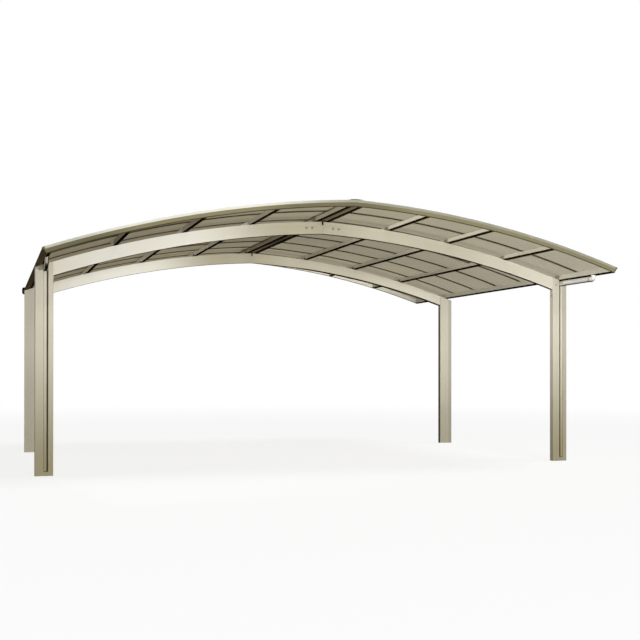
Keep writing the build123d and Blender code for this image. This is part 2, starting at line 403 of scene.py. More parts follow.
# Zones of a post's width are given from its sides, and the outer one from the groove's edge
postTones = {
    "colour": (0.64, 0.60, 0.485),
    "halfWidth": 0.095,
    # Painted shade towards the ground, weaker on the rear posts
    "groundShadeShare": 0.78,
    "rearGroundShade": 0.45,
    # Painted shade on the outer edge of the left front post
    "shadedEdgeColour": (0.095, 0.08, 0.035),
    "shadedEdgeX": (0.0035, 0.0065),
    "shadedEdgeShare": 0.8,
    "innerColour": (0.10, 0.085, 0.05),
    "innerX": (0.0003, 0.0015),
    "innerShare": 0.85,
    # Painted shade on the right posts' land outside the groove
    "shadedOuterX": (-0.0005, 0.0005),
    "outerShadeShare": 0.45,
}
groove = {
    "offset": 0.018,
    "halfWidth": 0.0250,
    "front": -1.7015,
    "back": -1.6515,
    "shadeDepth": 0.010,
    "soft": 0.001,
    "share": 0.9,
    "colour": (0.07, 0.055, 0.03),
    # Painted shade in the groove, a lighter tone on the right posts
    "rightLightingColour": (0.26, 0.235, 0.165),
    "sideX": (-1.0, 1.0),
}


def postTone(tree, base, spot):
    # Painted shade darkens the lower end towards the ground, and gives the left front post a dark outer edge
    x, y, tones = spot["x"], spot["y"], postTones
    groundShade = below(tree, spot["z"], finish["groundShadeZone"], tones["groundShadeShare"])
    groundShade = times(tree, groundShade, between(tree, y, rearZone, (1.0, tones["rearGroundShade"])))
    base = blendColour(tree, groundShade, base, tinted(finish["groundShadeColour"]))
    shadedEdgeX = near(-roof["halfSpan"] - tones["halfWidth"], tones["shadedEdgeX"])
    edge = times(tree, below(tree, x, shadedEdgeX, tones["shadedEdgeShare"]), below(tree, y, rearZone))
    base = blendColour(tree, edge, base, tinted(tones["shadedEdgeColour"]))
    # Painted shade makes the land outside the groove darker on the right posts
    shadedOuterX = near(roof["halfSpan"] + groove["offset"] + groove["halfWidth"], tones["shadedOuterX"])
    base = blendColour(tree, above(tree, x, shadedOuterX, tones["outerShadeShare"]), base, tinted(finish["deepShade"]))
    # The inner sides of the rear posts are in shade
    atRear = between(tree, y, rearZone)
    innerX = near(roof["halfSpan"] - tones["halfWidth"], tones["innerX"])
    inner = times(tree, below(tree, sums(tree, "ABSOLUTE", x), innerX, tones["innerShare"]), atRear)
    # So is the groove of the front posts
    across = sums(tree, "ABSOLUTE", sums(tree, "SUBTRACT", x, groove["offset"]))
    across = sums(tree, "ABSOLUTE", sums(tree, "SUBTRACT", across, roof["halfSpan"]))
    inside = below(tree, across, near(groove["halfWidth"], (0.0, groove["soft"])))
    behind = between(tree, y, near(groove["front"], (0.0, groove["shadeDepth"])))
    ahead = below(tree, y, near(groove["back"], (0.0, groove["soft"])), groove["share"])
    shade = times(tree, times(tree, inside, behind), ahead)
    tone = between(tree, x, groove["sideX"])
    tone = blendColour(tree, tone, tinted(groove["colour"]), tinted(groove["rightLightingColour"]))
    tone = blendColour(tree, atRear, tone, tinted(tones["innerColour"]))
    return base, (sums(tree, "MAXIMUM", shade, inner), tone)


fasciaTones = {
    # Painted shade: the fascia's face is a darker olive than the frame's own colour
    "colour": (0.205, 0.182, 0.092),
    "shade": (0.055, 0.045, 0.02),
    "middleFrom": (-1.1, -0.6),
    "middleTo": (0.2, 0.7),
    "middleShare": 0.45,
    "leftX": (-2.75, -2.1),
    "leftShare": 0.60,
    # Painted highlight on the lip, and the painted shade that dulls it
    "lipHighlightColour": (0.76, 0.75, 0.66),
    "lipShadeColour": (0.34, 0.335, 0.26),
    "lipUp": (0.0440, 0.0500),
    "lipX": (-1.2, 0.1),
    "lipLeftX": (-2.9, -2.3),
    "lipLeftShare": 0.6,
    # Painted light on the side towards the bay
    "inwardLightColour": (0.92, 0.89, 0.78),
    "inward": (-0.8, -0.6),
    # Painted shade on the fascia's end
    "shadedEndColour": (0.16, 0.135, 0.065),
    "endAlong": (0.0400, 0.0415),
    "shadedFootUp": (0.0080, 0.0105),
    "shadedFootShare": 0.9,
}


def fasciaTone(tree, base, spot):
    # Painted shade on the middle and the left end, and a painted highlight on the lip, dulled by painted
    # shade at the left end and on the right
    x, up, tones = spot["x"], spot["up"], fasciaTones
    middle = sums(tree, "MINIMUM", between(tree, x, tones["middleFrom"]), below(tree, x, tones["middleTo"]))
    middle = times(tree, middle, tones["middleShare"])
    shade = sums(tree, "MAXIMUM", middle, below(tree, x, tones["leftX"], tones["leftShare"]))
    base = blendColour(tree, shade, base, tinted(tones["shade"]))
    dull = tinted(tones["lipShadeColour"])
    lip = blendColour(tree, between(tree, x, tones["lipX"]), tinted(tones["lipHighlightColour"]), dull)
    lip = blendColour(tree, below(tree, x, tones["lipLeftX"], tones["lipLeftShare"]), lip, dull)
    base = blendColour(tree, between(tree, up, tones["lipUp"]), base, lip)
    # Painted light on the side towards the bay, and painted shade on a dark foot and a dark end
    inward = times(tree, facingParts(tree)[1], sums(tree, "SIGN", spot["y"]))
    base = blendColour(tree, below(tree, inward, tones["inward"]), base, tinted(tones["inwardLightColour"]))
    end = between(tree, spot["along"], near(gutterAlong, tones["endAlong"]))
    foot = below(tree, up, tones["shadedFootUp"], tones["shadedFootShare"])
    tone = blendColour(tree, end, tinted(tones["shade"]), tinted(tones["shadedEndColour"]))
    return base, (sums(tree, "MAXIMUM", end, foot), tone)


postMaterial = anodised("postAluminium", "z", postTones["colour"], postTone)
beamMaterial = anodised("beamAluminium", "x", beamTones["colour"], beamTone)
purlinMaterial = anodised("purlinAluminium", "y", finish["colour"], purlinTone)
gutterMaterial = anodised("gutterAluminium", "y", finish["colour"], gutterTone)
rafterMaterial = anodised("rafterDarkBars", "x", rafterTones["colour"], rafterTone)
# The splice is near black, painted shade for the notch and joint gap of the beams
spliceMaterial = anodised("spliceNotchShade", "x", finish["spliceShadeColour"])
fasciaMaterial = anodised("fasciaAluminium", "x", fasciaTones["colour"], fasciaTone)
# The ridge cover takes the lip's painted highlight colour
coverMaterial = anodised("coverAluminium", "y", fasciaTones["lipHighlightColour"])
channelMaterial = anodised("channelAluminium", "y", finish["colour"], channelTone)
print("aluminium materials made")

# Smoked roof sheet: light comes through it, and it has a faint pressed grain
sheetLook = {
    "colour": (0.44, 0.395, 0.285),
    "topColour": (0.27, 0.245, 0.19),
    "tints": (0.95, 1.04),
    "through": (0.32, 0.26, 0.13),
    "throughTints": (0.96, 1.03),
    "throughShare": 0.40,
    "mattShare": 0.90,
    "mattUp": (0.0672, 0.0684),
    "clearLeast": 0.24,
    "clearMost": 0.58,
    "clearSlope": 1.65,
    "clearStart": 0.12,
    "clearColour": (0.90, 0.89, 0.83),
    "roughness": (0.26, 0.36),
    "specular": 0.40,
    "cloudStretch": (0.9, 1.4, 1.0),
    "fleckStretch": (900.0, 900.0, 900.0),
    "ribPitch": 0.0105,
    "ribShare": 0.35,
    "bump": 0.4,
    "depth": 0.0001,
}


def smokedSheet(name):
    look = sheetLook
    material, tree, end = newMaterial(name)
    spot = roofSpot(tree)
    place = unrolled(tree, spot)
    cloud = between(tree, grain(tree, place, look["cloudStretch"], detail=2.0), noiseZone)
    fleck = grain(tree, place, look["fleckStretch"], detail=2.0)
    ribs = sums(tree, "SINE", times(tree, spot["y"], 2 * math.pi / look["ribPitch"]))
    height = sums(tree, "ADD", times(tree, ribs, look["ribShare"]), fleck)
    skin = addNode(
        tree,
        "ShaderNodeBsdfPrincipled",
        Base_Color=clouded(tree, cloud, look["topColour"], look["tints"]),
        Roughness=between(tree, fleck, noiseZone, look["roughness"]),
        Normal=pressed(tree, height, look["bump"], look["depth"]),
        Specular_IOR_Level=look["specular"],
    )
    under = clouded(tree, cloud, look["colour"], look["tints"])
    skin = mattWhere(tree, skin, (below(tree, spot["up"], look["mattUp"], look["mattShare"]), under))
    through = clouded(tree, cloud, look["through"], look["throughTints"])
    glow = addNode(tree, "ShaderNodeBsdfTranslucent", Color=through)
    body = mixShaders(tree, look["throughShare"], skin, glow)
    # Seen at a low angle the sheet is thicker to look through, so less of what is behind it shows
    edgeOn = tree.nodes.new("ShaderNodeLayerWeight").outputs["Facing"]
    straight = sums(tree, "SUBTRACT", 1.0, edgeOn)
    share = sums(tree, "ADD", times(tree, straight, look["clearSlope"]), look["clearStart"])
    share = sums(tree, "MINIMUM", sums(tree, "MAXIMUM", share, look["clearLeast"]), look["clearMost"])
    clear = addNode(tree, "ShaderNodeBsdfTransparent", Color=tinted(look["clearColour"]))
    whole = mixShaders(tree, share, body, clear)
    tree.links.new(whole.outputs[0], end.inputs[0])
    return material


# The drain pipes: a level oval run from the gutter to the post, and a flat box down its groove
drain = {
    "outletIn": 0.0215,
    "outletY": -2.430,
    "runHeight": 2.191,
    "halfWidth": 0.0195,
    "halfHeight": 0.029,
    "bend": 0.0295,
    "bendSteps": 12,
    "ringPoints": 36,
    "squareness": 2.6,
    "collar": 0.003,
    "socket": 0.026,
    "socketGap": 0.004,
    "flange": 0.003,
    "endY": -1.6535,
    "postFront": -1.7025,
    "downWidth": 0.032,
    "downDepth": 0.044,
    "downY": -1.6795,
    "downOffset": 0.008,
    "footZ": 0.051,
    "openLength": 0.2,
    "corner": 0.005,
    "leastCorner": 0.001,
    "cornerSteps": 4,
    "wall": 0.002,
    "smoothDegrees": 35,
}
# Heights on the run are given from its underside
pipeTones = {
    "colour": (0.78, 0.74, 0.62),
    "roughness": (0.35, 0.47),
    "groundShadeShares": (0.92, 0.25),
    # Painted shade on the left run and painted light on the right run
    "leftLightingColour": (0.40, 0.37, 0.29),
    "leftShare": 0.8,
    "rightLightingColour": (0.97, 0.96, 0.88),
    "rightShare": 0.9,
    "middleX": (-0.1, 0.1),
    "postY": (-1.80, -1.76),
    "runUp": (-0.002, -0.001),
    # Painted shade on the lower part of the right run
    "fadeShadeColour": (0.30, 0.2775, 0.2175),
    "fadeUp": (0.004, 0.038),
    "fadeShare": 0.85,
    "shade": (0.05, 0.042, 0.026),
    "shadedUnderUp": (0.003, 0.015),
    "jointY": -2.350,
    "jointReach": (0.006, 0.010),
    "jointShare": 0.55,
    "shadedInnerFacing": (0.35, 0.5),
}


def pipeTone(tree, base):
    # Painted shade darkens the downpipe's lower end, and the run has painted shade on the left and painted
    # light on the right
    tones = pipeTones
    x, y, z = parted(tree, objectPlace(tree))
    underside = drain["runHeight"] - drain["halfHeight"]
    groundShade = between(tree, z, finish["groundShadeZone"], tones["groundShadeShares"])
    base = blendColour(tree, groundShade, base, tinted(finish["groundShadeColour"]))
    ahead = below(tree, y, tones["postY"])
    leftRun = times(tree, below(tree, x, tones["middleX"]), ahead)
    base = blendColour(tree, times(tree, leftRun, tones["leftShare"]), base, tinted(tones["leftLightingColour"]))
    onRun = between(tree, z, near(underside, tones["runUp"]))
    run = times(tree, onRun, ahead)
    rightRun = times(tree, run, between(tree, x, tones["middleX"]))
    base = blendColour(tree, times(tree, rightRun, tones["rightShare"]), base, tinted(tones["rightLightingColour"]))
    # Painted shade on the lower part of the right run
    fade = times(tree, rightRun, below(tree, z, near(underside, tones["fadeUp"]), tones["fadeShare"]))
    base = blendColour(tree, fade, base, tinted(tones["fadeShadeColour"]))
    # Painted shade darkens the underside and the left run's inner side, and the joint behind the elbow is
    # dark
    under = times(tree, below(tree, z, near(underside, tones["shadedUnderUp"])), onRun)
    joint = sums(tree, "ABSOLUTE", sums(tree, "SUBTRACT", y, tones["jointY"]))
    joint = times(tree, run, below(tree, joint, tones["jointReach"], tones["jointShare"]))
    inner = times(tree, leftRun, between(tree, facingParts(tree)[0], tones["shadedInnerFacing"]))
    dark = sums(tree, "MAXIMUM", sums(tree, "MAXIMUM", under, joint), inner)
    return base, (dark, tinted(tones["shade"]))


# Moulded plastic: satin for the pipe and the seals, dull for the end caps and the cleats
plasticGrain = {"bump": 0.3, "depth": 0.0001}
satinPlastic = {"cloud": 5.0, "fleck": 700.0, "tints": (0.96, 1.03), "specular": 0.5}
dullPlastic = {"cloud": 40.0, "fleck": 900.0, "tints": (0.8, 1.3), "specular": 0.1}


def mouldedPlastic(name, look, piece, change=None):
    # The look is satin or dull, and the piece's own dictionary has its colour and roughness
    material, tree, end = newMaterial(name)
    cloud = between(tree, grain(tree, objectPlace(tree), [look["cloud"]] * 3), noiseZone)
    fleck = grain(tree, objectPlace(tree), [look["fleck"]] * 3, detail=2.0)
    base = clouded(tree, cloud, piece["colour"], look["tints"])
    dark = None
    if change:
        base, dark = change(tree, base)
    shader = addNode(
        tree,
        "ShaderNodeBsdfPrincipled",
        Base_Color=base,
        Roughness=between(tree, fleck, noiseZone, piece["roughness"]),
        Normal=pressed(tree, fleck, plasticGrain["bump"], plasticGrain["depth"]),
        Specular_IOR_Level=look["specular"],
    )
    if dark:
        shader = mattWhere(tree, shader, dark)
    tree.links.new(shader.outputs[0], end.inputs[0])
    return material


boltLook = {
    "dull": (0.36, 0.33, 0.26),
    "bright": (0.46, 0.42, 0.34),
    "cloud": 260.0,
    "roughness": (0.32, 0.5),
    "roughZone": (0.25, 0.75),
    "metallic": 0.9,
}


def boltSteel(name):
    material, tree, end = newMaterial(name)
    cloud = grain(tree, objectPlace(tree), [boltLook["cloud"]] * 3)
    shine = between(tree, cloud, noiseZone)
    shader = addNode(
        tree,
        "ShaderNodeBsdfPrincipled",
        Base_Color=blendColour(tree, shine, tinted(boltLook["dull"]), tinted(boltLook["bright"])),
        Roughness=between(tree, cloud, boltLook["roughZone"], boltLook["roughness"]),
        Metallic=boltLook["metallic"],
    )
    tree.links.new(shader.outputs[0], end.inputs[0])
    return material


sheetMaterial = smokedSheet("smokedSheet")
pipeMaterial = mouldedPlastic("palePipe", satinPlastic, pipeTones, pipeTone)
boltMaterial = boltSteel("boltSteel")
print("sheet, pipe and bolt materials made")

# Each CAD node's look by the start of its name, where a later line goes over an earlier one
dressing = {
    "post_": postMaterial,
    "groove_covers": postMaterial,
    "beam_": beamMaterial,
    "beam_splice_": spliceMaterial,
    "purlin_": purlinMaterial,
    "ridge_purlin_": purlinMaterial,
    "ridge_channel": channelMaterial,
    "ridge_cover": coverMaterial,
    "gutter_": gutterMaterial,
    "fascia_": fasciaMaterial,
    "rafter_": rafterMaterial,
    "roof_panels_": sheetMaterial,
    "drain_pipe_": pipeMaterial,
}
for prefix, material in dressing.items():
    for name, piece in nodes.items():
        if name.startswith(prefix):
            piece.data.materials.clear()
            piece.data.materials.append(material)
print("CAD nodes dressed")


# Geometry Nodes trees for what repeats or follows a line
def newTree(name, sizes):
    tree = bpy.data.node_groups.new(name, "GeometryNodeTree")
    face = tree.interface
    face.new_socket("Geometry", in_out="INPUT", socket_type="NodeSocketGeometry")
    for label, value in sizes.items():
        socket = face.new_socket(label, in_out="INPUT", socket_type="NodeSocketFloat")
        socket.default_value = value
    face.new_socket("Material", in_out="INPUT", socket_type="NodeSocketMaterial")
    face.new_socket("Geometry", in_out="OUTPUT", socket_type="NodeSocketGeometry")
    return tree, tree.nodes.new("NodeGroupInput"), tree.nodes.new("NodeGroupOutput")


def endTree(tree, start, end, geometry):
    real = addNode(tree, "GeometryNodeRealizeInstances", Geometry=geometry).outputs[0]
    painted = addNode(tree, "GeometryNodeSetMaterial", Geometry=real, Material=start.outputs["Material"])
    tree.links.new(painted.outputs[0], end.inputs[0])


def headsOnPoints():
    # A washer and a hexagon or round head on each point, facing along the point's own direction
    sizes = {"Head Radius": 0.009, "Head Height": 0.006, "Washer Radius": 0.012, "Washer Height": 0.0015}
    washerSides = 20
    tree, start, end = newTree("headsOnPoints", {**sizes, "Sides": 6.0})
    sockets = start.outputs
    both = tree.nodes.new("GeometryNodeJoinGeometry")
    discs = (("Head", sockets["Sides"], sockets["Washer Height"]), ("Washer", washerSides, 0.0))
    for part, sides, under in discs:
        radius, height = sockets[part + " Radius"], sockets[part + " Height"]
        disc = addNode(tree, "GeometryNodeMeshCylinder", Vertices=sides, Radius=radius, Depth=height)
        middle = sums(tree, "ADD", times(tree, height, 0.5), under)
        lift = addNode(tree, "ShaderNodeCombineXYZ", Z=middle).outputs[0]
        raised = addNode(tree, "GeometryNodeTransform", Geometry=disc.outputs["Mesh"], Translation=lift)
        tree.links.new(raised.outputs[0], both.inputs[0])
    facing = addNode(tree, "GeometryNodeInputNamedAttribute", {"data_type": "FLOAT_VECTOR"}, Name="facing")
    turned = addNode(tree, "FunctionNodeAlignRotationToVector", {"axis": "Z"}, Vector=facing.outputs[0])
    placed = addNode(
        tree,
        "GeometryNodeInstanceOnPoints",
        Points=sockets["Geometry"],
        Instance=both.outputs[0],
        Rotation=turned.outputs[0],
    )
    endTree(tree, start, end, placed.outputs[0])
    return tree


def stripAlongLines():
    # A rectangular strip that follows each line of the mesh it is given
    tree, start, end = newTree("stripAlongLines", {"Width": 0.004, "Height": 0.003})
    width, height = start.outputs["Width"], start.outputs["Height"]
    lines = addNode(tree, "GeometryNodeMeshToCurve", Mesh=start.outputs["Geometry"]).outputs[0]
    lines = addNode(tree, "GeometryNodeSetCurveNormal", {"mode": "Z_UP"}, Curve=lines).outputs[0]
    profile = addNode(tree, "GeometryNodeCurvePrimitiveQuadrilateral", Width=width, Height=height).outputs[0]
    strip = addNode(tree, "GeometryNodeCurveToMesh", Curve=lines, Profile_Curve=profile)
    strip.inputs["Fill Caps"].default_value = True
    endTree(tree, start, end, strip.outputs[0])
    return tree


heads = headsOnPoints()
strips = stripAlongLines()


def grow(name, tree, mesh, sizes, material):
    # Runs a tree on a mesh of points or lines, and keeps the result as one plain mesh
    source = bpy.data.objects.new(name + "Source", mesh)
    scene.collection.objects.link(source)
    modifier = source.modifiers.new("grow", "NODES")
    modifier.node_group = tree
    keys = {s.name: s.identifier for s in tree.interface.items_tree if s.in_out == "INPUT"}
    for label, value in sizes.items():
        modifier[keys[label]] = value
    modifier[keys["Material"]] = material
    bpy.context.view_layer.update()
    shown = source.evaluated_get(bpy.context.evaluated_depsgraph_get())
    made = bpy.data.meshes.new_from_object(shown)
    made.name = name
    bpy.data.objects.remove(source)
    piece = bpy.data.objects.new(name, made)
    scene.collection.objects.link(piece)
    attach(piece, "root")
    return piece


def pointMesh(name, spots):
    # spots are places with the direction each faces
    mesh = bpy.data.meshes.new(name)
    mesh.from_pydata([tuple(place) for place, way in spots], [], [])
    facing = mesh.attributes.new("facing", "FLOAT_VECTOR", "POINT")
    facing.data.foreach_set("vector", [n for place, way in spots for n in way])
    return mesh


def lineMesh(name, lines):
    points, edges = [], []
    for line in lines:
        first = len(points)
        points += [tuple(p) for p in line]
        edges += [(first + n, first + n + 1) for n in range(len(line) - 1)]
    mesh = bpy.data.meshes.new(name)
    mesh.from_pydata(points, edges, [])
    return mesh


def boltOn(name, spots, sizes):
    grow(name, heads, pointMesh(name, spots), sizes, boltMaterial)


# Joint bolts of the beams, two each side of the ridge: on both faces in front and on the back at the rear
beamBolts = {
    "places": (0.130, 0.200),
    "drop": 0.070,
    "sizes": {"Head Radius": 0.0095, "Head Height": 0.006, "Washer Radius": 0.0125, "Washer Height": 0.0015},
}
spots = []
for beamY, faces in ((-roof["postY"], (-1, 1)), (roof["postY"], (1,))):
    for face in faces:
        for x in beamBolts["places"]:
            for side in (-1, 1):
                place, away = onRoof(side * x, beamY + face * roof["beamHalfWidth"], -beamBolts["drop"])
                spots.append((place, Vector((0, face, 0))))
boltOn("beamJointBolts", spots, beamBolts["sizes"])
print("beam bolts made")

# Screws down the rafter caps
capScrews = {
    "from": 0.16,
    "to": 2.98,
    "count": 9,
    "sizes": {
        "Head Radius": 0.0055,
        "Head Height": 0.003,
        "Washer Radius": 0.0085,
        "Washer Height": 0.0012,
        "Sides": 16.0,
    },
}
spots = []
for y in rafterYs:
    for side in (-1, 1):
        for x in evenly(capScrews["from"], capScrews["to"], capScrews["count"]):
            spots.append(onRoof(side * x, y, roof["capTop"]))
boltOn("rafterCapScrews", spots, capScrews["sizes"])
print("cap screws made")

# Black seals under the sheets, on both edges of every rafter
sealLook = {
    "colour": (0.035, 0.03, 0.025),
    "roughness": (0.6, 0.72),
    "offset": 0.0133,
    "up": 0.0648,
    "from": 0.03,
    "endGap": 0.005,
    "points": 29,
    "sizes": {"Width": 0.003, "Height": 0.0026},
}
sealMaterial = mouldedPlastic("blackSeal", satinPlastic, sealLook)
sealXs = evenly(sealLook["from"], roof["gutterX"] - sealLook["endGap"], sealLook["points"])
lines = []
for y in rafterYs:
    for side in (-1, 1):
        for edge in (-1, 1):
            edgeY = y + edge * sealLook["offset"]
            lines.append([onRoof(side * x, edgeY, sealLook["up"])[0] for x in sealXs])
grow("sheetSeals", strips, lineMesh("sheetSeals", lines), sealLook["sizes"], sealMaterial)
print("seals made")


def shell(work, rings):
    # Joins the rings into a closed skin
    rows = [[work.verts.new(p) for p in points] for points in rings]
    for first, second in zip(rows, rows[1:]):
        for n in range(len(first)):
            after = (n + 1) % len(first)
            work.faces.new((first[n], first[after], second[after], second[n]))
    work.faces.new(rows[0])
    work.faces.new(rows[-1])


def pieceFrom(work, name, material, degrees):
    # Ends the work as a piece, with edges sharper than the angle left sharp
    bmesh.ops.recalc_face_normals(work, faces=work.faces)
    mesh = bpy.data.meshes.new(name)
    work.to_mesh(mesh)
    work.free()
    mesh.polygons.foreach_set("use_smooth", [True] * len(mesh.polygons))
    mesh.set_sharp_from_angle(angle=math.radians(degrees))
    mesh.materials.append(material)
    piece = bpy.data.objects.new(name, mesh)
    scene.collection.objects.link(piece)
    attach(piece, "root")
    return piece


def softBox(xs, ys, corner, steps, less=0.0):
    # The outline of a box with round corners, as pairs, drawn in by less
    points = []
    for quarter, (signX, signY) in enumerate(((1, 1), (-1, 1), (-1, -1), (1, -1))):
        for n in range(steps + 1):
            turn = math.pi / 2 * (quarter + n / steps)
            x = xs[signX > 0] - signX * corner + (corner - less) * math.cos(turn)
            y = ys[signY > 0] - signY * corner + (corner - less) * math.sin(turn)
            points.append((x, y))
    return points


def easedBlock(work, place, edge):
    made = bmesh.ops.create_cube(work, size=1, matrix=place)["verts"]
    edges = list(dict.fromkeys(e for v in made for e in v.link_edges))
    bmesh.ops.bevel(work, geom=edges, offset=edge, segments=2, affect="EDGES")


def ring(centre, way, aside, extra=0.0):
    # A rounded oval across the path: its width level, its height along the other way
    upright = aside.cross(way)
    power = 2 / drain["squareness"]
    points = []
    for n in range(drain["ringPoints"]):
        turn = 2 * math.pi * n / drain["ringPoints"]
        along, up = math.cos(turn), math.sin(turn)
        along = math.copysign(abs(along) ** power, along) * (drain["halfWidth"] + extra)
        up = math.copysign(abs(up) ** power, up) * (drain["halfHeight"] + extra)
        points.append(centre + aside * along + upright * up)
    return points


def drainRings(side):
    # From under the gutter, round the elbow and back into the groove, with a socket at each end
    collar, socket = drain["collar"], drain["socket"]
    seat, fall, away = slopeFrame(side * roof["gutterX"], drain["outletY"])
    outlet = seat + fall * drain["outletIn"]
    end = Vector((side * roof["halfSpan"] + groove["offset"], drain["endY"], drain["runHeight"]))
    corner = Vector((outlet.x, drain["outletY"], drain["runHeight"]))
    back = (end - corner).normalized()
    aside = Vector((back.y, -back.x, 0))
    down = Vector((0, 0, -1))
    rings = []
    for lower, extra in ((0.0, collar), (drain["flange"], collar), (drain["flange"], 0.0)):
        flat = ring(outlet, down, aside, extra)
        for p in flat:
            p.z = outlet.z + (p.x - outlet.x) * fall.z / fall.x - lower
        rings.append(flat)
    pivot = corner + (back - down) * drain["bend"]
    for n in range(drain["bendSteps"] + 1):
        turn = math.pi / 2 * n / drain["bendSteps"]
        way = down * math.cos(turn) + back * math.sin(turn)
        out = back * -math.cos(turn) + down * math.sin(turn)
        rings.append(ring(pivot + out * drain["bend"], way, aside))
    whole = (end - corner).length
    atPost = whole * (drain["postFront"] - corner.y) / (end.y - corner.y)
    for start in (drain["bend"] + drain["socketGap"], atPost - socket - drain["socketGap"]):
        for reach, extra in ((0, 0.0), (0, collar), (socket, collar), (socket, 0.0)):
            rings.append(ring(corner + back * (start + reach), back, aside, extra))
    rings.append(ring(end, back, aside))
    return rings


def downpipeRings(side):
    # A flat box with soft corners, open at its foot
    middle = Vector((side * (roof["halfSpan"] + drain["downOffset"]) + groove["offset"], drain["downY"], 0))
    levels = (
        (drain["runHeight"], 0.0),
        (drain["footZ"], 0.0),
        (drain["footZ"], drain["wall"]),
        (drain["footZ"] + drain["openLength"], drain["wall"]),
    )
    rings = []
    for height, inset in levels:
        corner = max(drain["corner"] - inset, drain["leastCorner"])
        halfX, halfY = drain["downWidth"] / 2 - inset, drain["downDepth"] / 2 - inset
        outline = softBox((-halfX, halfX), (-halfY, halfY), corner, drain["cornerSteps"])
        rings.append([middle + Vector((x, y, height)) for x, y in outline])
    return rings


for sideName, side in (("left", -1), ("right", 1)):
    work = bmesh.new()
    shell(work, drainRings(side))
    shell(work, downpipeRings(side))
    piece = pieceFrom(work, "drain_" + sideName, pipeMaterial, drain["smoothDegrees"])
    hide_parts("drain_pipe_" + sideName)
print("drains made")

# Bolts on the posts: two under each beam on the inner side, one on the wider land at the top
postBolts = {
    "innerHeights": (2.045, 2.100),
    "landOffset": -0.051,
    "landHeight": 2.180,
    "halfDepth": 0.0375,
    "sizes": {"Head Radius": 0.0075, "Head Height": 0.005, "Washer Radius": 0.010, "Washer Height": 0.0012},
}
spots = []
for side in (-1, 1):
    for postY, face in ((-roof["postY"], -1), (roof["postY"], 1)):
        for height in postBolts["innerHeights"]:
            innerX = side * (roof["halfSpan"] - postTones["halfWidth"])
            spots.append((Vector((innerX, postY, height)), Vector((-side, 0, 0))))
        land = Vector((side * roof["halfSpan"] + postBolts["landOffset"], postY, postBolts["landHeight"]))
        land.y += face * postBolts["halfDepth"]
        spots.append((land, Vector((0, face, 0))))
boltOn("postBolts", spots, postBolts["sizes"])
print("post bolts made")

# Rounded black caps on the rear gutter ends, with x given from the gutter's seat and z from the eave
endCaps = {
    "colour": (0.016, 0.013, 0.009),
    "roughness": (0.75, 0.75),
    "x": (0.046, 0.103),
    "z": (0.0, 0.102),
    "depth": 0.0375,
    "gap": 0.0005,
    "corner": 0.027,
    "cornerSteps": 6,
    "inset": 0.008,
    "smoothDegrees": 40,
}
capMaterial = mouldedPlastic("blackCap", dullPlastic, endCaps)
capXs, capZs = near(roof["gutterX"], endCaps["x"]), near(roof["eaveHeight"], endCaps["z"])
farY = roof["halfLength"] - endCaps["gap"]
nearY = farY - endCaps["depth"]
inset = endCaps["inset"]
work = bmesh.new()
for side in (-1, 1):
    rings = []
    for y, less in ((nearY, inset), (nearY + inset, 0.0), (farY - inset, 0.0), (farY, inset)):
        outline = softBox(capXs, capZs, endCaps["corner"], endCaps["cornerSteps"], less)
        rings.append([Vector((side * x, y, z)) for x, z in outline])
    shell(work, rings)
pieceFrom(work, "gutterEndCaps", capMaterial, endCaps["smoothDegrees"])
print("end caps made")


def slopeBox(work, x, y, low, high, edge):
    # A block whose corners are given down the slope, along the building and up from the seat line
    seat, fall, away = slopeFrame(x, y)
    middle = [(a + b) / 2 for a, b in zip(low, high)]
    size = [b - a for a, b in zip(low, high)]
    turn = Matrix((fall, (0, 1, 0), away)).transposed()
    place = Matrix.Translation(seat + turn @ Vector(middle)) @ turn.to_4x4() @ Matrix.Diagonal((*size, 1))
    easedBlock(work, place, edge)


# Angle cleats that hold the purlins down on the beams, near black as painted shade at the purlins' feet
cleats = {
    "colour": (0.022, 0.017, 0.010),
    "roughness": (0.75, 0.75),
    "halfWidth": 0.026,
    "foot": 0.040,
    "leg": 0.030,
    "thickness": 0.004,
    "purlinHalf": 0.019,
    "boltReach": 0.024,
    "edge": 0.0008,
    "smoothDegrees": 30,
}
cleatMaterial = mouldedPlastic("shadedDarkCleat", dullPlastic, cleats)
firstAngle, lastAngle = roofAngle(roof["purlinFirst"]), roofAngle(roof["gutterX"])
purlinAngles = evenly(firstAngle, lastAngle, roof["purlinPitches"] + 1)[:-1]
purlinXs = [arcX + roof["seatRadius"] * math.sin(angle) for angle in purlinAngles]
half, face, thick = cleats["halfWidth"], cleats["purlinHalf"], cleats["thickness"]
work = bmesh.new()
spots = []
for beamY in (-roof["postY"], roof["postY"]):
    for side in (-1, 1):
        for number, x in enumerate(purlinXs):
            for hand in (-1, 1):
                # None between the ridge purlins, and on the front beam only those to the right of a purlin
                if (number == 0 and hand == -1) or (beamY < 0 and side * hand < 0):
                    continue
                for reach, height in ((cleats["foot"], thick), (thick, cleats["leg"])):
                    low, high = sorted((hand * face, hand * (face + reach)))
                    slopeBox(work, side * x, beamY, (low, -half, 0.0), (high, half, height), cleats["edge"])
                seat, fall, away = slopeFrame(side * x, beamY)
                spots.append((seat + fall * hand * (face + cleats["boltReach"]) + away * thick, away))
pieceFrom(work, "purlinCleats", cleatMaterial, cleats["smoothDegrees"])
boltOn("cleatBolts", spots, capScrews["sizes"])
print("purlin cleats made")

